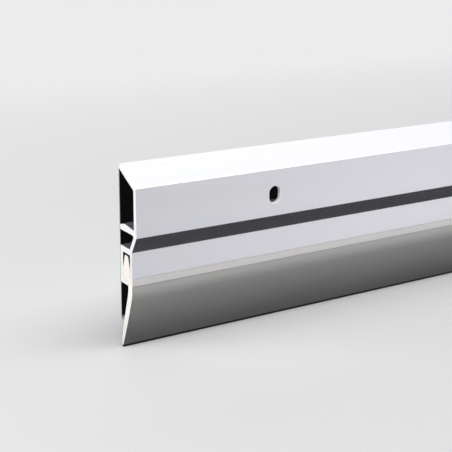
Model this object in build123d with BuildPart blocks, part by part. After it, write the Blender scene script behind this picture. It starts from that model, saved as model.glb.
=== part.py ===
from build123d import *

import os

# Door bottom seal: an extruded aluminium strip that is screwed along the foot of a door,
# with a soft sealing blade held in its channel.
# Millimetres. X runs along the strip, Y = 0 is the face of the door and the front looks towards -Y.
# Z = 0 is the middle of the channel's flat back.

# Whole strip
length = 914.0
depth = 9.0
front_y = -depth

# Channel that holds the blade
channel_height = 10.2
channel_front_y = front_y + 2.6
front_wall = 1.15
back_wall = 1.3
top_wall = 1.6
front_wall_length = 7.8
catch_thickness = 1.0
catch_reach = 3.95
channel_top = channel_height / 2
channel_bottom = -channel_height / 2
cavity_front_y = channel_front_y + front_wall
cavity_back_y = -back_wall
cavity_top = channel_top - top_wall
front_wall_end = channel_top - front_wall_length
catch_top = channel_bottom + catch_thickness

# Inclined web between the face plate and the channel
web_thickness = 1.35
web_rise = 4.5
web_foot = channel_top - 0.65

# Face plate
plate_thickness = 1.35
plate_height = 12.9
plate_bottom = web_foot + web_rise
plate_top = plate_bottom + plate_height
plate_back_y = front_y + plate_thickness

# Sloping drip lip along the top, whose edge lies on the door
lip_rise = 4.79
lip_edge = 1.45
lip_slope = lip_rise / depth

# Foot that stands the face plate off the door, thickened near its tip
foot_bottom = plate_bottom + 0.3
foot_root = foot_bottom + 1.45
foot_crest = foot_bottom + 2.0
foot_crest_y = -2.7
foot_edge = foot_bottom + 1.35

# Upright screw slots through the face plate
slot_width = 3.6
slot_height = 4.8
slot_count = 5
slot_pitch = 207.5
slot_z = plate_top - 7.05

# Rounding that the extrusion die leaves
bend_radius = 0.3
inner_radius = 0.5
edge_radius = 0.2

# Sealing blade: head in the channel, shoulder below the front wall, tapering blade
fit_gap = 0.05
head_top = cavity_top - 0.5
head_top_width = 1.7
head_shoulder = -0.6
head_radius = 0.55
shoulder_height = 1.95
shoulder_step = 0.14
root_thickness = 2.2
root_radius = 13.5
root_turn = 18.0
sweep_radius = 190.0
sweep_turn = 4.25
tip_back = (-0.02, -20.9)
tip_front_z = -22.9
tip_end = (-0.12, -23.36)
tip_radius = 0.06


def corners(sketch, *points):
    """The sketch's corners nearest to the given points."""
    return [sketch.vertices().sort_by_distance(point)[0] for point in points]


# The strip is drawn at its left end and runs to the right
end_plane = Plane.YZ.offset(-length / 2)

# Aluminium profile: the section runs from the front edge of the lip over the top and down the back
web_lean = (channel_front_y - front_y) / web_rise
web_width = web_thickness * (1 + web_lean**2) ** 0.5
web_back_y = channel_front_y + web_width - (channel_top - web_foot) * web_lean
web_neck_y = front_y + web_width - (foot_bottom - plate_bottom) * web_lean

front_edge = (front_y, plate_top)
lip_tip = (0, plate_top + lip_rise)
lip_under = (0, plate_top + lip_rise - lip_edge)
inner_bend = (plate_back_y, plate_top - lip_edge + lip_slope * plate_thickness)
foot_corner = (plate_back_y, foot_root)
foot_top = (foot_crest_y, foot_crest)
foot_tip = (0, foot_edge)
foot_under = (0, foot_bottom)
web_neck = (web_neck_y, foot_bottom)
web_back = (web_back_y, channel_top)
back_top = (0, channel_top)
back_bottom = (0, channel_bottom)
catch_under = (-catch_reach, channel_bottom)
catch_over = (-catch_reach, catch_top)
cavity_floor = (cavity_back_y, catch_top)
cavity_rear = (cavity_back_y, cavity_top)
cavity_fore = (cavity_front_y, cavity_top)
wall_inner = (cavity_front_y, front_wall_end)
wall_outer = (channel_front_y, front_wall_end)
web_front = (channel_front_y, web_foot)
plate_edge = (front_y, plate_bottom)

with BuildPart() as aluminium_profile:
    with BuildSketch(end_plane) as profile_section:
        with BuildLine():
            Polyline(
                front_edge, lip_tip, lip_under, inner_bend, foot_corner, foot_top, foot_tip,
                foot_under, web_neck, web_back, back_top, back_bottom, catch_under, catch_over,
                cavity_floor, cavity_rear, cavity_fore, wall_inner, wall_outer, web_front,
                plate_edge, close=True,
            )
        make_face()
        fillet(corners(profile_section, inner_bend, web_neck, web_back), radius=inner_radius)
        fillet(corners(profile_section, front_edge, foot_corner, foot_top), radius=bend_radius)
        fillet(corners(profile_section, web_front, plate_edge, back_bottom), radius=bend_radius)
        fillet(corners(profile_section, lip_tip, lip_under, foot_tip, foot_under), radius=edge_radius)
        fillet(corners(profile_section, back_top, catch_under, catch_over), radius=edge_radius)
        fillet(corners(profile_section, cavity_floor, cavity_rear, cavity_fore), radius=edge_radius)
        fillet(corners(profile_section, wall_inner, wall_outer), radius=edge_radius)
    extrude(amount=length)

    # Screw slots, centred along the strip
    with BuildSketch(Plane.XZ.offset(depth)) as slots:
        with Locations((0, slot_z)):
            with GridLocations(slot_pitch, 0, slot_count, 1):
                SlotOverall(slot_height, slot_width, rotation=90)
    extrude(amount=-plate_thickness, mode=Mode.SUBTRACT)

# Sealing blade: the head fills the channel and its ledge hangs on the catch
head_mid_y = (cavity_front_y + cavity_back_y) / 2
head_front_y = cavity_front_y + fit_gap
head_back_y = cavity_back_y - fit_gap
shoulder_top = front_wall_end - fit_gap
shoulder_bottom = shoulder_top - shoulder_height
root_front_y = channel_front_y + shoulder_step
root_back_y = root_front_y + root_thickness

ledge_end = (head_back_y, catch_top)
head_tip_front = (head_mid_y - head_top_width / 2, head_top)
head_tip_back = (head_mid_y + head_top_width / 2, head_top)

with BuildPart() as sealing_blade:
    with BuildSketch(end_plane) as blade_section:
        with BuildLine():
            root_front = JernArc((root_front_y, channel_bottom), (0, -1), root_radius, root_turn)
            sweep_front = JernArc(root_front @ 1, root_front % 1, sweep_radius, sweep_turn)
            sweep_end, sweep_way = sweep_front @ 1, sweep_front % 1
            tip_front = sweep_end + sweep_way * ((tip_front_z - sweep_end.Y) / sweep_way.Y)
            Polyline(sweep_end, tip_front, tip_end, tip_back)
            root_back = JernArc(
                (root_back_y, channel_bottom), (0, -1), root_radius - root_thickness, root_turn
            )
            TangentArc(root_back @ 1, tip_back, tangent=root_back % 1)
            Polyline(
                root_back @ 0,
                (root_back_y, catch_top),
                ledge_end,
                (head_back_y, head_shoulder),
                head_tip_back,
                head_tip_front,
                (head_front_y, head_shoulder),
                (head_front_y, shoulder_top),
                (channel_front_y, shoulder_top),
                (channel_front_y, shoulder_bottom),
                (root_front_y, shoulder_bottom),
                root_front @ 0,
            )
        make_face()
        fillet(corners(blade_section, head_tip_front, head_tip_back), radius=head_radius)
        fillet(corners(blade_section, tip_front, tip_end), radius=tip_radius)
        fillet(corners(blade_section, ledge_end), radius=edge_radius + fit_gap)
    extrude(amount=length)

aluminium_profile.part.label = "aluminium_profile"
sealing_blade.part.label = "sealing_blade"

os.makedirs("parts", exist_ok=True)
export_step(aluminium_profile.part, "parts/aluminium_profile.step")
export_step(sealing_blade.part, "parts/sealing_blade.step")
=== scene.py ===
import math

import bpy
import numpy as np
from mathutils import Matrix, Vector


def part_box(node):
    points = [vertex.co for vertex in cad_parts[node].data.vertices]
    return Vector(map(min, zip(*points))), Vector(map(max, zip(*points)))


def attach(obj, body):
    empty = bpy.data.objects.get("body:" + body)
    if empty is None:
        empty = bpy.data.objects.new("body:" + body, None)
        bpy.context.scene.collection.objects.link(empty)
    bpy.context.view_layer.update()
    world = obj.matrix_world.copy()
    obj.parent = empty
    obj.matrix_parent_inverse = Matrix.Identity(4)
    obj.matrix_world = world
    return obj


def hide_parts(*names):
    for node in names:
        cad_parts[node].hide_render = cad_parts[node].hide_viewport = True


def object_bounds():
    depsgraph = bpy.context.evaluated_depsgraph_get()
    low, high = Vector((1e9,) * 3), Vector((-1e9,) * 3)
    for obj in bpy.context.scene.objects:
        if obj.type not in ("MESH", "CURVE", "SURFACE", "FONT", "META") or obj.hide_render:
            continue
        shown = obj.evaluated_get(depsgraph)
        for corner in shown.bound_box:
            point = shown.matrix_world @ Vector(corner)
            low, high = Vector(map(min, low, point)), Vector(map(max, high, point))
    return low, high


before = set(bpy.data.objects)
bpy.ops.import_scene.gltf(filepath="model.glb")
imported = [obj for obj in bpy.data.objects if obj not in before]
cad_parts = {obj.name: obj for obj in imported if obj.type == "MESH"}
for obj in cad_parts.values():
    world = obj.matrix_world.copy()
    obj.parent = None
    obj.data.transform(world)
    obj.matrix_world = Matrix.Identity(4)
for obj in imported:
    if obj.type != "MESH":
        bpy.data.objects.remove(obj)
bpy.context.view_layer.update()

scene = bpy.context.scene
scene.view_settings.view_transform = "Standard"


# Aluminium profile: one extruded strip, satin anodised, then sawn to length and deburred, with
# upright screw slots punched through its face plate. Its lip sheds rain, its foot stands the
# plate off the door, and the channel below the sloping web holds the blade.
mm = 0.001
strip_low, strip_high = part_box("aluminium_profile")
left, right = strip_low.x, strip_high.x
front = strip_low.y

channel_top, channel_bottom = 5.1 * mm, -5.1 * mm
channel_setback = 2.6 * mm
front_wall, back_wall, top_wall = 1.15 * mm, 1.3 * mm, 1.6 * mm
front_wall_length = 7.8 * mm
catch_reach, catch_thickness = 3.95 * mm, 1.0 * mm
channel_front = front + channel_setback
cavity_front, cavity_back = channel_front + front_wall, -back_wall
cavity_top = channel_top - top_wall
wall_end = channel_top - front_wall_length
catch_top = channel_bottom + catch_thickness

plate_height, plate_thickness = 12.9 * mm, 1.35 * mm
web_rise = 4.5 * mm
web_lean = channel_setback / web_rise
web_width = plate_thickness * math.hypot(1, web_lean)
web_foot = channel_top - 0.65 * mm
plate_bottom = web_foot + web_rise
plate_top = plate_bottom + plate_height
plate_back = front + plate_thickness
lip_rise, lip_edge = 4.79 * mm, 1.45 * mm
lip_top = plate_top + lip_rise
lip_slope = lip_rise / -front

foot_bottom = plate_bottom + 0.3 * mm
foot_root = foot_bottom + 1.45 * mm
foot_crest, foot_crest_y = foot_bottom + 2.0 * mm, -2.7 * mm
foot_edge = foot_bottom + 1.35 * mm

slot_width, slot_height = 3.6 * mm, 4.8 * mm
slot_z = plate_top - 7.05 * mm
slot_pitch, slot_count = 207.5 * mm, 5
slot_centres = slot_pitch * (np.arange(slot_count) - (slot_count - 1) / 2)
slot_rim = 0.12 * mm
saw_break = 0.06 * mm

# Radii of the front edge, of the bends, of the inner corners and of the other edges
crisp, bend, inner, edge = 0.18 * mm, 0.3 * mm, 0.5 * mm, 0.2 * mm
profile_corners = np.array([
    (front, plate_top, crisp),
    (0, lip_top, edge),
    (0, lip_top - lip_edge, edge),
    (plate_back, plate_top - lip_edge + lip_slope * plate_thickness, inner),
    (plate_back, foot_root, bend),
    (foot_crest_y, foot_crest, bend),
    (0, foot_edge, edge),
    (0, foot_bottom, edge),
    (front + web_width - (foot_bottom - plate_bottom) * web_lean, foot_bottom, inner),
    (channel_front + web_width - (channel_top - web_foot) * web_lean, channel_top, inner),
    (0, channel_top, edge),
    (0, channel_bottom, bend),
    (-catch_reach, channel_bottom, edge),
    (-catch_reach, catch_top, edge),
    (cavity_back, catch_top, edge),
    (cavity_back, cavity_top, edge),
    (cavity_front, cavity_top, edge),
    (cavity_front, wall_end, edge),
    (channel_front, wall_end, edge / 2),
    (channel_front, web_foot, bend),
    (front, plate_bottom, bend),
])


def rounded(corners, points):
    """A closed section whose corners are arcs, each tangent to its two edges.

    corners holds y, z and radius, and runs clockwise as seen from the strip's right end. An arc's
    centre lies on the bisector of its corner, at radius / sin(half the corner's angle), and its
    points are the radius turned evenly about that centre. The outward normal is that radius, or
    its opposite in a hollow corner. Arcs that follow on from each other share their end point."""
    place, radius = corners[:, :2], corners[:, 2]
    before = np.roll(place, 1, axis=0) - place
    after = np.roll(place, -1, axis=0) - place
    before /= np.linalg.norm(before, axis=1)[:, None]
    after /= np.linalg.norm(after, axis=1)[:, None]
    half = np.arccos(np.clip((before * after).sum(1), -1, 1)) / 2
    bisector = before + after
    bisector /= np.linalg.norm(bisector, axis=1)[:, None]
    centre = place + bisector * (radius / np.sin(half))[:, None]
    side = np.sign(before[:, 0] * after[:, 1] - before[:, 1] * after[:, 0])
    turn = (math.pi / 2 - half)[:, None] * np.linspace(-1, 1, points) * side[:, None]
    y = -bisector[:, :1] * np.cos(turn) - bisector[:, 1:] * np.sin(turn)
    z = -bisector[:, 1:] * np.cos(turn) + bisector[:, :1] * np.sin(turn)
    spoke = np.stack([y, z], axis=-1)
    outline = (centre[:, None] + spoke * radius[:, None, None]).reshape(-1, 2)
    normal = (spoke * side[:, None, None]).reshape(-1, 2)
    shared = 0.001 * mm
    apart = np.linalg.norm(outline - np.roll(outline, 1, axis=0), axis=1) > shared
    return outline[apart], normal[apart]


def carried(outline, normal, stations):
    """The section carried along the strip: one ring of points at each station along X.

    The first and last ring are drawn in by the saw break, and face along the strip."""
    rings = np.repeat(outline[None], len(stations), axis=0)
    rings[[0, -1]] -= normal * saw_break
    x = np.broadcast_to(stations[:, None, None], rings.shape[:2] + (1,))
    points = np.concatenate([x, rings], axis=-1)
    outward = np.repeat(normal[None], len(stations), axis=0)
    facing = np.concatenate([np.zeros(x.shape), outward], axis=-1)
    facing[0] = (-1, 0, 0)
    facing[-1] = (1, 0, 0)
    return points, facing


def quads(index, closed):
    """Four-sided faces between the neighbours of a grid of point numbers, its second way closed or not."""
    next_row = np.roll(index, -1, axis=1) if closed else index[:, 1:]
    this_row = index if closed else index[:, :-1]
    return np.stack([this_row[:-1], this_row[1:], next_row[1:], next_row[:-1]], axis=-1)


# What the attribute 'cut' says of a point: how its surface was made, or that it is in the channel, whose
# inside is coloured near black as painted shade
drawn_mark, sawn_mark, punched_mark, channel_shade_mark = 0, 1, 2, -1


def extrusion(name, points, facing, faces, ends, cut):
    """A mesh from its points, their normals, its faces and its two ends, with the marks as 'cut'."""
    mesh = bpy.data.meshes.new(name)
    mesh.from_pydata(points.tolist(), [], faces.tolist() + [end.tolist() for end in ends])
    mesh.attributes.new("cut", "FLOAT", "POINT").data.foreach_set("value", cut.astype(np.float32))
    mesh.shade_smooth()
    mesh.normals_split_custom_set_from_vertices(facing.tolist())
    mesh.validate()
    piece = bpy.data.objects.new(name, mesh)
    scene.collection.objects.link(piece)
    return piece


# The plate's flat front and back get rows of points, and the slots get stations, so that each slot
# is cut in a cell of its own. The plate's back lies between the fourth and the fifth corner.
arc_points = 9
cell_rows = 18
cell_half = 6.3 * mm
outline, normal = rounded(profile_corners, arc_points)
share = np.linspace(0, 1, cell_rows + 1)[1:-1, None]
back_end = 4 * arc_points
back_rows = outline[back_end - 1] * (1 - share) + outline[back_end] * share
front_rows = outline[-1] * (1 - share) + outline[0] * share
outline = np.concatenate([outline[:back_end], back_rows, outline[back_end:], front_rows])
normal = np.concatenate([
    normal[:back_end],
    np.repeat([[1.0, 0.0]], cell_rows - 1, axis=0),
    normal[back_end:],
    np.repeat([[-1.0, 0.0]], cell_rows - 1, axis=0),
])
around = len(outline)

near_end, far_end = [left, left + saw_break], [right - saw_break, right]
cell_stations = (slot_centres[:, None] + np.linspace(-cell_half, cell_half, cell_rows + 1)).ravel()
stations = np.concatenate([near_end, cell_stations, far_end])
points, facing = carried(outline, normal, stations)
index = np.arange(points.shape[0] * around).reshape(-1, around)
wall = quads(index, closed=True)

front_span = np.arange(around - cell_rows, around + 1) % around
back_span = np.arange(back_end - 1, back_end + cell_rows)[::-1]
first_station = len(near_end) + (cell_rows + 1) * np.arange(slot_count)
keep = np.ones(wall.shape[:2], bool)
for first in first_station:
    keep[first:first + cell_rows, front_span[:-1]] = False
    keep[first:first + cell_rows, back_span[1:]] = False


def cell_edge(first, span):
    """Point numbers round one slot's cell, from its lower left corner and anticlockwise from the front."""
    columns = first + np.arange(cell_rows + 1)
    return np.concatenate([
        index[columns[:-1], span[0]],
        index[columns[-1], span[:-1]],
        index[columns[:0:-1], span[-1]],
        index[columns[0], span[:0:-1]],
    ])


def slot_sleeve(centre, edge_points):
    """A slot's rounded rims and the wall between them, as columns of points from front to back.

    A ray from the slot's centre towards each point of the cell's edge meets the slot's outline,
    which is a circle drawn out upwards. From there a column turns round the front rim by a quarter
    of a circle, runs straight through the plate, and turns round the back rim in the same way."""
    radius, straight = slot_width / 2, (slot_height - slot_width) / 2
    way = edge_points[:, [0, 2]] - (centre, slot_z)
    way /= np.linalg.norm(way, axis=1)[:, None]
    across, up = way.T
    nearly_nothing = 1e-9
    to_side = radius / np.maximum(np.abs(across), nearly_nothing)
    to_arc = straight * np.abs(up) + np.sqrt(np.maximum(radius**2 - (straight * across) ** 2, 0))
    reach = np.where(to_side * np.abs(up) <= straight, to_side, to_arc)
    hole = way * reach[:, None]
    outward = hole - np.stack([hole[:, 0] * 0, np.clip(hole[:, 1], -straight, straight)], axis=-1)
    outward /= np.linalg.norm(outward, axis=1)[:, None]

    rim_points = 5
    quarter = np.linspace(0, math.pi / 2, rim_points)
    offset = np.concatenate([slot_rim * (1 - np.sin(quarter)), slot_rim * (1 - np.cos(quarter))])
    depth = np.concatenate([slot_rim * (1 - np.cos(quarter)), slot_rim * np.sin(quarter) - slot_rim])
    depth += np.repeat([front, plate_back], rim_points)
    face = np.concatenate([-np.cos(quarter), np.sin(quarter)])
    inward = np.concatenate([np.sin(quarter), np.cos(quarter)])

    plan = hole[:, None] + outward[:, None] * offset[None, :, None] + (centre, slot_z)
    columns = np.stack([plan[..., 0], np.broadcast_to(depth, plan.shape[:2]), plan[..., 1]], axis=-1)
    normals = np.stack([
        -outward[:, :1] * inward, np.broadcast_to(face, plan.shape[:2]), -outward[:, 1:] * inward,
    ], axis=-1)
    return columns, normals


# The points that lie in the channel, whose faces get painted shade: behind the middle of its front wall,
# above that of its catch
past_middle, past_corner = 0.5 * mm, 0.1 * mm
in_channel = (outline[:, 0] > channel_front + past_middle) & (outline[:, 0] < cavity_back + past_corner)
in_channel &= (outline[:, 1] > channel_bottom + past_middle) & (outline[:, 1] < cavity_top + past_corner)
cut = np.tile(np.where(in_channel, channel_shade_mark, drawn_mark), (len(stations), 1))
cut[[0, -1]] = sawn_mark

# Steps on the flat between a slot's rim and its cell's edge, closer together near the rim
flat_steps = np.array([0.7, 0.42, 0.2, 0.07])[None, :, None]
all_points = [points.reshape(-1, 3)]
all_facing = [facing.reshape(-1, 3)]
all_cut = [cut.ravel()]
all_faces = [wall[keep]]
count = len(all_points[0])
for centre, first in zip(slot_centres, first_station):
    edges = [cell_edge(first, span) for span in (front_span, back_span)]
    corners = [all_points[0][numbers] for numbers in edges]
    rim, rim_facing = slot_sleeve(centre, corners[0])
    front_flat = rim[:, :1] * (1 - flat_steps) + corners[0][:, None] * flat_steps
    back_flat = (rim[:, -1:] * (1 - flat_steps) + corners[1][:, None] * flat_steps)[:, ::-1]
    sleeve = np.concatenate([front_flat, rim, back_flat], axis=1)
    flat_facing = np.zeros(front_flat.shape)
    flat_facing[..., 1] = -1
    sleeve_facing = np.concatenate([flat_facing, rim_facing, -flat_facing], axis=1)
    numbers = count + np.arange(sleeve.shape[0] * sleeve.shape[1]).reshape(sleeve.shape[:2])
    numbers = np.concatenate([edges[0][:, None], numbers, edges[1][:, None]], axis=1)
    ring = quads(np.concatenate([numbers, numbers[:1]]), closed=False)
    steps = flat_steps.size
    punched = np.full(sleeve.shape[:2], drawn_mark)
    punched[:, steps + 1:-steps] = punched_mark
    all_points.append(sleeve.reshape(-1, 3))
    all_facing.append(sleeve_facing.reshape(-1, 3))
    all_cut.append(punched.ravel())
    all_faces.append(ring.reshape(-1, 4))
    count += punched.size

profile = extrusion(
    "aluminium_strip",
    np.concatenate(all_points),
    np.concatenate(all_facing),
    np.concatenate(all_faces),
    [index[0], index[-1][::-1]],
    np.concatenate(all_cut),
)


def add(tree, kind, **inputs):
    """A node of this kind, with the inputs that are named, in words joined by underscores, set."""
    made = tree.nodes.new(kind)
    for name, value in inputs.items():
        made.inputs[name.replace("_", " ")].default_value = value
    return made


def ramp(tree, fac, low, high):
    """The value at fac stretched from low and high to 0 and 1, and held there outside them."""
    made = add(tree, "ShaderNodeMapRange", From_Min=low, From_Max=high)
    tree.links.new(fac, made.inputs["Value"])
    return made.outputs["Result"]


def blend(tree, fac, first, second):
    """The colour or socket first where fac is 0, and second where it is 1."""
    made = tree.nodes.new("ShaderNodeMix")
    made.data_type = "RGBA"
    for name, value in (("A", first), ("B", second)):
        socket = next(s for s in made.inputs if s.name == name and s.type == "RGBA")
        if isinstance(value, bpy.types.NodeSocket):
            tree.links.new(value, socket)
        else:
            socket.default_value = (*value, 1)
    tree.links.new(fac, made.inputs["Factor"])
    return next(s for s in made.outputs if s.type == "RGBA")


def combine(tree, operation, *values):
    """A Math node of this operation on one, two or three sockets or numbers."""
    made = tree.nodes.new("ShaderNodeMath")
    made.operation = operation
    for socket, value in zip(made.inputs, values):
        if isinstance(value, bpy.types.NodeSocket):
            tree.links.new(value, socket)
        else:
            socket.default_value = value
    return made.outputs["Value"]


def coordinates(tree):
    """The Object coordinates, as one vector."""
    return tree.nodes.new("ShaderNodeTexCoord").outputs["Object"]


# Lines that the die draws along an extruded strip, finer or coarser, with cloudy patches
die_lines = bpy.data.node_groups.new("die_lines", "ShaderNodeTree")
for name in ("Lines per metre", "Patches per metre"):
    die_lines.interface.new_socket(name, in_out="INPUT", socket_type="NodeSocketFloat")
for name in ("Lines", "Broad lines", "Patches", "Grain"):
    die_lines.interface.new_socket(name, in_out="OUTPUT", socket_type="NodeSocketFloat")
group_in = die_lines.nodes.new("NodeGroupInput")
group_out = die_lines.nodes.new("NodeGroupOutput")
group_place = coordinates(die_lines)


def streaks(density, stretch, detail):
    """Noise on Object coordinates, stretched along the strip by this factor."""
    squeeze = die_lines.nodes.new("ShaderNodeVectorMath")
    squeeze.operation = "MULTIPLY"
    squeeze.inputs[1].default_value = (1 / stretch, 1, 1)
    die_lines.links.new(group_place, squeeze.inputs[0])
    noise = add(die_lines, "ShaderNodeTexNoise", Detail=detail, Roughness=0.6)
    die_lines.links.new(squeeze.outputs[0], noise.inputs["Vector"])
    die_lines.links.new(density, noise.inputs["Scale"])
    return noise.outputs["Fac"]


fine = group_in.outputs["Lines per metre"]
for name, density, stretch, detail in (
    ("Lines", fine, 500, 3),
    ("Broad lines", combine(die_lines, "MULTIPLY", fine, 0.12), 300, 2),
    ("Patches", group_in.outputs["Patches per metre"], 3, 2),
    ("Grain", combine(die_lines, "MULTIPLY", fine, 2.5), 1, 2),
):
    die_lines.links.new(streaks(density, stretch, detail), group_out.inputs[name])


def drawn(tree, lines, patches):
    """The die line group in a material, with its own fineness."""
    made = tree.nodes.new("ShaderNodeGroup")
    made.node_tree = die_lines
    made.inputs["Lines per metre"].default_value = lines
    made.inputs["Patches per metre"].default_value = patches
    return made.outputs


def new_material(name):
    """A material with its node tree and its empty Principled shader."""
    made = bpy.data.materials.new(name)
    made.use_nodes = True
    return made, made.node_tree, made.node_tree.nodes["Principled BSDF"]


def saw_marks(tree, spacing):
    """Fine parallel scores left by the saw, across the strip and a little aslant.

    The bands of a wave at a scale of 1 are 0.314 apart."""
    turned = add(tree, "ShaderNodeMapping", Rotation=(math.radians(24), 0, 0))
    tree.links.new(coordinates(tree), turned.inputs["Vector"])
    wave = add(tree, "ShaderNodeTexWave", Scale=0.314 / spacing, Distortion=2.0, Detail=2.0)
    wave.bands_direction = "Z"
    tree.links.new(turned.outputs["Vector"], wave.inputs["Vector"])
    return wave.outputs["Fac"]


def marks(tree):
    """The attribute 'cut', whose marks are told apart by ramps that end short of them."""
    made = tree.nodes.new("ShaderNodeAttribute")
    made.attribute_name = "cut"
    return made.outputs["Fac"]


satin_deep, satin_light, satin_cloud = (0.745, 0.75, 0.79), (0.78, 0.785, 0.823), (0.762, 0.765, 0.812)
sawn_deep, sawn_light, punched_metal = (0.89, 0.89, 0.88), (0.96, 0.96, 0.95), (0.88, 0.88, 0.88)
# Painted shade: near black for the faces inside the channel, on the profile and on the blade's head
painted_channel_shade = (0.03, 0.03, 0.03)

anodised, tree, shader = new_material("satin_anodised_aluminium")
lines = drawn(tree, 2600, 45)
mark = marks(tree)
punched = ramp(tree, mark, 1.1, 1.9)
channel_shade = ramp(tree, mark, -0.2, -0.9)
cut = ramp(tree, mark, 0.3, 0.9)
scores = saw_marks(tree, 0.35 * mm)
satin = blend(tree, ramp(tree, lines["Broad lines"], 0.3, 0.7), satin_deep, satin_light)
satin = blend(tree, ramp(tree, lines["Patches"], 0.35, 0.7), satin, satin_cloud)
# Painted shade: the inside of the channel is near black, and dull and not metallic there
satin = blend(tree, channel_shade, satin, painted_channel_shade)
bare = blend(tree, scores, sawn_deep, sawn_light)
bare = blend(tree, punched, bare, punched_metal)
tree.links.new(blend(tree, cut, satin, bare), shader.inputs["Base Color"])
tree.links.new(combine(tree, "SUBTRACT", 1, channel_shade), shader.inputs["Metallic"])

# The satin is 0.20 to 0.30 rough, a cut face 0.16 more, and a punched one and the painted-shade hollow
# 0.50 on top
gloss = combine(tree, "MULTIPLY_ADD", lines["Lines"], 0.10, 0.20)
gloss = combine(tree, "ADD", gloss, combine(tree, "MULTIPLY", cut, 0.16))
rough = combine(tree, "MAXIMUM", punched, channel_shade)
gloss = combine(tree, "ADD", gloss, combine(tree, "MULTIPLY", rough, 0.50))
tree.links.new(gloss, shader.inputs["Roughness"])

relief = combine(tree, "ADD", lines["Lines"], combine(tree, "MULTIPLY", lines["Grain"], 0.35))
scored = combine(tree, "MULTIPLY", scores, cut)
relief = combine(tree, "ADD", relief, combine(tree, "MULTIPLY", scored, 6.0))
bump = add(tree, "ShaderNodeBump", Strength=1.0, Distance=0.0016 * mm)
tree.links.new(relief, bump.inputs["Height"])
tree.links.new(bump.outputs["Normal"], shader.inputs["Normal"])

profile.data.materials.append(anodised)
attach(profile, "root")
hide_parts("aluminium_profile")


# Sealing blade: one soft plastic extrusion, cut to length with the profile. Its arrow head is
# pushed into the channel and hangs on the catch, its shoulder closes the channel's front, and the
# blade thins towards the tip, which sweeps back to the door.
fit_gap = 0.05 * mm
head_front, head_back = cavity_front + fit_gap, cavity_back - fit_gap
head_middle = (cavity_front + cavity_back) / 2
head_top, head_half_top, head_barb = cavity_top - 0.5 * mm, 0.85 * mm, -0.6 * mm
shoulder_top = wall_end - fit_gap
shoulder_bottom = shoulder_top - 1.95 * mm
root_front = channel_front + 0.14 * mm
root_thickness = 2.2 * mm
root_back = root_front + root_thickness
root_radius, root_turn = 13.5 * mm, math.radians(18)
back_radius = root_radius - root_thickness
sweep_radius, sweep_turn = 190.0 * mm, math.radians(4.25)
tip_front_z, tip_end, tip_back = -22.9 * mm, (-0.12 * mm, -23.36 * mm), (-0.02 * mm, -20.9 * mm)


def along(angle):
    """The way down the blade once it has turned by this angle towards the door."""
    return np.array([math.sin(angle), -math.cos(angle)])


# Front of the blade: a short arc at the root and a long one below it, then straight to the tip.
# An arc is given as a corner where its two tangents meet, at radius * tan(half the turn) from its ends.
root_tangent = root_radius * math.tan(root_turn / 2)
sweep_tangent = sweep_radius * math.tan(sweep_turn / 2)
root_corner = np.array([root_front, channel_bottom - root_tangent])
sweep_corner = root_corner + along(root_turn) * (root_tangent + sweep_tangent)
tip_front = sweep_corner + along(root_turn + sweep_turn) * (
    (sweep_corner[1] - tip_front_z) / math.cos(root_turn + sweep_turn)
)

# Back of the blade: an arc at the root, and one from there that ends at the tip's back. It is a
# little tighter than its chord asks for, which leaves room for the arc at the tip's back.
tightness = 0.93
back_tangent = back_radius * math.tan(root_turn / 2)
back_corner = np.array([root_back, channel_bottom - back_tangent])
back_start = back_corner + along(root_turn) * back_tangent
chord = np.array(tip_back) - back_start
half_chord = float(np.hypot(*chord)) / 2
half_turn = root_turn - math.atan2(chord[0], -chord[1])
flank_corner = back_start + along(root_turn) * half_chord / math.cos(half_turn)
flank_radius = tightness * half_chord / math.sin(half_turn)

# Radii of the head's top, of the tip's back, of the cut-in corners, of the moulded edges and of the tip
crown, tip_bend, notch, soft_edge, tip_edge = 0.55 * mm, 2.0 * mm, 0.05 * mm, 0.1 * mm, 0.06 * mm
blade_corners = np.array([
    (head_middle - head_half_top, head_top, crown),
    (head_middle + head_half_top, head_top, crown),
    (head_back, head_barb, soft_edge),
    (head_back, catch_top, edge + fit_gap),
    (root_back, catch_top, soft_edge),
    (*back_corner, back_radius),
    (*flank_corner, flank_radius),
    (*tip_back, tip_bend),
    (*tip_end, tip_edge),
    (*tip_front, tip_edge),
    (*sweep_corner, sweep_radius),
    (*root_corner, root_radius),
    (root_front, shoulder_bottom, notch),
    (channel_front, shoulder_bottom, notch),
    (channel_front, shoulder_top, notch),
    (head_front, shoulder_top, notch),
    (head_front, head_barb, soft_edge),
])
arc_points = 13
end_gap, wave_stations = 3 * mm, 122
outline, normal = rounded(blade_corners, arc_points)
stations = np.concatenate([near_end, np.linspace(left + end_gap, right - end_gap, wave_stations), far_end])
points, facing = carried(outline, normal, stations)

# The free part of the blade is never quite straight: it leans forwards in two slow waves along
# the strip, added together, by more and more towards the tip
lean, long_wave, short_wave = 0.07 * mm, 310 * mm, 83 * mm
free = np.clip((channel_bottom - points[..., 2]) / (channel_bottom - tip_end[1]), 0, 1) ** 2
turns = points[..., 0] * 2 * math.pi
wave = 0.5 + 0.3 * np.sin(turns / long_wave + 0.7) + 0.2 * np.sin(turns / short_wave + 2.1)
points[..., 1] -= lean * free * wave

index = np.arange(points.shape[0] * points.shape[1]).reshape(points.shape[:2])
cut = np.full(points.shape[:2], drawn_mark)
cut[[0, -1]] = sawn_mark
blade = extrusion(
    "soft_blade",
    points.reshape(-1, 3),
    facing.reshape(-1, 3),
    quads(index, closed=True).reshape(-1, 4),
    [index[0], index[-1][::-1]],
    cut.ravel(),
)


def position(tree):
    """The Object coordinates X, Y and Z, each by itself."""
    made = tree.nodes.new("ShaderNodeSeparateXYZ")
    tree.links.new(coordinates(tree), made.inputs[0])
    return made.outputs


skin_deep, skin_light, skin_line = (0.575, 0.57, 0.56), (0.615, 0.605, 0.595), (0.625, 0.62, 0.61)
firm_skin, painted_tip_shade = (0.93, 0.90, 0.90), (0.006, 0.006, 0.006)
core_deep, core_light, firm_core = (0.90, 0.87, 0.81), (0.94, 0.92, 0.87), (0.88, 0.81, 0.775)

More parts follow.
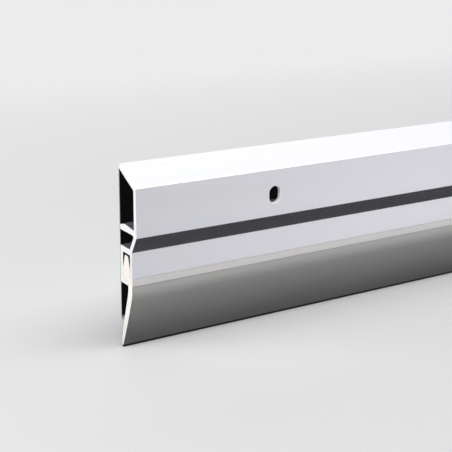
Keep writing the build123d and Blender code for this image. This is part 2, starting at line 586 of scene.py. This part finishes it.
plastic, tree, shader = new_material("soft_sealing_plastic")
lines = drawn(tree, 1500, 60)
cut = ramp(tree, marks(tree), 0.3, 0.9)
height = position(tree)["Z"]
firm = ramp(tree, height, shoulder_bottom - 0.15 * mm, shoulder_bottom + 0.05 * mm)
# Painted shade: the head, above the shoulder and inside the channel, is coloured near black
channel_shade = ramp(tree, height, shoulder_top + 0.1 * mm, shoulder_top + 0.4 * mm)
# Painted shade: the blade's tip, from 0.12 mm above its front corner down, is near black, a thin dark line
# along its bottom edge
tip_shade = ramp(tree, height, tip_front_z + 0.20 * mm, tip_front_z + 0.12 * mm)
broad = combine(tree, "MULTIPLY", ramp(tree, lines["Broad lines"], 0.3, 0.7), 0.5)
skin = blend(tree, ramp(tree, lines["Patches"], 0.3, 0.7), skin_deep, skin_light)
skin = blend(tree, broad, skin, skin_line)
skin = blend(tree, firm, skin, firm_skin)
skin = blend(tree, channel_shade, skin, painted_channel_shade)
core = blend(tree, saw_marks(tree, 0.5 * mm), core_deep, core_light)
core = blend(tree, firm, core, firm_core)
skin = blend(tree, cut, skin, core)
tree.links.new(blend(tree, tip_shade, skin, painted_tip_shade), shader.inputs["Base Color"])
shader.inputs["Specular IOR Level"].default_value = 0.9

# The skin is 0.30 to 0.42 rough, and the sawn end 0.35 more
gloss = combine(tree, "MULTIPLY_ADD", lines["Lines"], 0.12, 0.30)
gloss = combine(tree, "ADD", gloss, combine(tree, "MULTIPLY", cut, 0.35))
tree.links.new(gloss, shader.inputs["Roughness"])
relief = combine(tree, "ADD", lines["Lines"], combine(tree, "MULTIPLY", lines["Grain"], 0.8))
bump = add(tree, "ShaderNodeBump", Strength=1.0, Distance=0.003 * mm)
tree.links.new(relief, bump.inputs["Height"])
tree.links.new(bump.outputs["Normal"], shader.inputs["Normal"])

blade.data.materials.append(plastic)
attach(blade, "root")
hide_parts("sealing_blade")


# Floor: a pale sheet that fades into the pale ground further off, with a painted contact shadow: a thin
# dark line where the blade's tip meets it. Light that bounces off it finds a narrow black flag along the
# strip's front, which darkens the faces that look down at it, and a floor that is paler to the right and
# behind.
floor_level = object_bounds()[0].z - 0.02 * mm
floor_half = 4
flag_front, flag_back, flag_side, flag_soft = 20 * mm, 2 * mm, 60 * mm, 8 * mm
contact_front, contact_soft = 0.55 * mm, 0.2 * mm
flag_black, painted_contact_shadow = (0.040, 0.040, 0.044), (0.01, 0.01, 0.01)
floor_seen, ground = (0.76, 0.76, 0.76), 0.84
room_left, room_right = (0.62, 0.62, 0.62), (0.975, 0.975, 0.975)
room_start, room_end, room_slant = left - 130 * mm, left + 92 * mm, 0.8
fade_start, fade_end = 80 * mm, 400 * mm


def sheet(name, low, high):
    """A flat four-cornered sheet between two opposite corners, level or upright along X."""
    (x0, y0, z0), (x1, y1, z1) = low, high
    mesh = bpy.data.meshes.new(name)
    mesh.from_pydata([(x0, y0, z0), (x1, y0, z0), (x1, y1, z1), (x0, y1, z1)], [], [(0, 1, 2, 3)])
    made = bpy.data.objects.new(name, mesh)
    scene.collection.objects.link(made)
    return made


def seen(tree):
    """1 for rays from the camera, from gloss and through glass, and 0 for scattered light."""
    rays = tree.nodes.new("ShaderNodeLightPath").outputs
    mirrored = combine(tree, "MAXIMUM", rays["Is Glossy Ray"], rays["Is Transmission Ray"])
    return combine(tree, "MAXIMUM", rays["Is Camera Ray"], mirrored)


def within(tree, value, low, high, soft):
    """1 between low and high and 0 outside them, with soft ends."""
    rise = ramp(tree, value, low - soft / 2, low + soft / 2)
    fall = ramp(tree, value, high + soft / 2, high - soft / 2)
    return combine(tree, "MULTIPLY", rise, fall)


def mixed(tree, fac, first, second):
    """The material's surface, from the first shader where fac is 0 and the second where it is 1."""
    made = tree.nodes.new("ShaderNodeMixShader")
    tree.links.new(fac, made.inputs[0])
    tree.links.new(first.outputs[0], made.inputs[1])
    tree.links.new(second.outputs[0], made.inputs[2])
    tree.links.new(made.outputs[0], tree.nodes["Material Output"].inputs["Surface"])


floor = sheet("floor", (-floor_half, -floor_half, floor_level), (floor_half, floor_half, floor_level))
pale, tree, shader = new_material("pale_floor")
shader.inputs["Roughness"].default_value = 1.0
shader.inputs["Specular IOR Level"].default_value = 0.0
spot = position(tree)
flag = combine(
    tree, "MULTIPLY",
    within(tree, spot["X"], left - flag_side, right + flag_side, flag_soft),
    within(tree, spot["Y"], front - flag_front, flag_back, flag_soft),
)
aslant = combine(tree, "MULTIPLY_ADD", spot["Y"], room_slant, spot["X"])
room = blend(tree, ramp(tree, aslant, room_start, room_end), room_left, room_right)
room = blend(tree, flag, room, flag_black)
# Painted shadow: a thin near-black line on the floor just in front of the blade's tip, seen by the camera
contact_shadow = combine(
    tree, "MULTIPLY",
    within(tree, spot["X"], left, right, contact_soft),
    within(tree, spot["Y"], tip_end[0] - contact_front, tip_end[0] + contact_soft, contact_soft),
)
shown = blend(tree, contact_shadow, floor_seen, painted_contact_shadow)
camera_ray = tree.nodes.new("ShaderNodeLightPath").outputs["Is Camera Ray"]
tree.links.new(blend(tree, camera_ray, room, shown), shader.inputs["Base Color"])

# How far a point lies from the strip's middle line, beyond its ends too
beyond = combine(tree, "SUBTRACT", combine(tree, "ABSOLUTE", spot["X"]), right)
beyond = combine(tree, "MAXIMUM", beyond, 0)
sideways = combine(tree, "MULTIPLY", spot["Y"], spot["Y"])
away = combine(tree, "SQRT", combine(tree, "MULTIPLY_ADD", beyond, beyond, sideways))
far = ramp(tree, away, fade_start, fade_end)
plain = add(tree, "ShaderNodeEmission", Color=(ground, ground, ground, 1))
mixed(tree, combine(tree, "MULTIPLY", far, seen(tree)), shader, plain)
floor.data.materials.append(pale)


# Black card: a sheet of painted shade that stands against the strip's open back and makes the hollows
# there look dark; in glossy rays it glows faintly, as a painted reflection. It is clear to whatever comes
# from behind it or has passed it once, fades out at the strip's ends, and ends above the blade's tip, so
# that only the hollows show it.
card_back = 0.3 * mm
card_end, card_soft = 0.1 * mm, 0.3 * mm
card_clear, card_full = -16.5 * mm, -14.5 * mm
card_painted_shade, card_painted_reflection = (0.004, 0.004, 0.004), (0.085, 0.085, 0.09)

card = sheet("painted_shade_card", (left, card_back, floor_level), (right, card_back, lip_top - lip_edge))
black, tree, _ = new_material("painted_shade_card")
behind = tree.nodes.new("ShaderNodeNewGeometry").outputs["Backfacing"]
rays = tree.nodes.new("ShaderNodeLightPath").outputs
passed = ramp(tree, rays["Transparent Depth"], 0.4, 0.6)
unseen = combine(tree, "MAXIMUM", behind, passed)
spot = position(tree)
ends = within(tree, spot["X"], left + card_end, right - card_end, card_soft)
solid = combine(tree, "MULTIPLY", ends, ramp(tree, spot["Z"], card_clear, card_full))
solid = combine(tree, "MULTIPLY", solid, combine(tree, "SUBTRACT", 1, unseen))
# The card is an emitter: near black as painted shade, and a faint glow in glossy rays as a painted
# reflection
card_glow = tree.nodes.new("ShaderNodeEmission")
tree.links.new(blend(tree, rays["Is Glossy Ray"], card_painted_shade, card_painted_reflection), card_glow.inputs["Color"])
mixed(tree, solid, tree.nodes.new("ShaderNodeBsdfTransparent"), card_glow)
card.data.materials.append(black)


# Studio light: a long soft key high in front, a softbox overhead for the lip, one to the left for
# the sawn faces, and a weak fill behind, in a white room.
def softbox(name, direction, distance, size, radiance, target=(0, 0, 0)):
    """An area lamp that looks at its target from this direction, with the radiance of its face given."""
    lamp = bpy.data.lights.new(name, "AREA")
    lamp.shape = "RECTANGLE"
    lamp.size, lamp.size_y = size
    lamp.energy = radiance * math.pi * size[0] * size[1]
    made = bpy.data.objects.new(name, lamp)
    away_from = Vector(direction).normalized()
    made.location = Vector(target) + away_from * distance
    made.rotation_mode = "QUATERNION"
    made.rotation_quaternion = away_from.to_track_quat("Z", "Y")
    scene.collection.objects.link(made)
    return made


near_end_middle = (left, 0, 0)
softbox("key", (0, -0.42, 0.91), 2.0, (2.4, 1.0), 4.0)
softbox("overhead", (0.49, 0.25, 0.84), 1.2, (1.4, 1.0), 0.405, near_end_middle)
softbox("left_side", (-0.95, 0.12, 0.30), 0.8, (0.7, 0.7), 4.5, near_end_middle)
softbox("behind", (0.1, 0.8, 0.55), 2.0, (2.0, 1.0), 0.9)

# The room lights the strip weakly, and is seen as pale as the ground
fill = 0.09
world = bpy.data.worlds.new("white_room")
scene.world = world
world.use_nodes = True
tree = world.node_tree
background = tree.nodes["Background"]
background.inputs["Color"].default_value = (1, 1, 1, 1)
strength = combine(tree, "MULTIPLY_ADD", seen(tree), ground - fill, fill)
tree.links.new(strength, background.inputs["Strength"])


# Camera: in front of the strip's left end and a little above it, looking along and down on it.
# Its place is given from the front edge of the lip at that end.
near_corner = Vector((left, front, plate_top))
stand = Vector((-119.02, -230.12, 68.32)) * mm
azimuth, elevation, roll = (math.radians(angle) for angle in (-32.31, 16.73, 0.6))
camera = bpy.data.objects.new("camera", bpy.data.cameras.new("camera"))
scene.collection.objects.link(camera)
camera.data.sensor_width = 36.0
camera.data.lens = 86.02
camera.data.clip_start = 0.01
camera.data.clip_end = 20.0
camera.matrix_world = (
    Matrix.Translation(near_corner + stand)
    @ Matrix.Rotation(azimuth, 4, "Z")
    @ Matrix.Rotation(math.pi / 2 - elevation, 4, "X")
    @ Matrix.Rotation(roll, 4, "Z")
)
scene.camera = camera
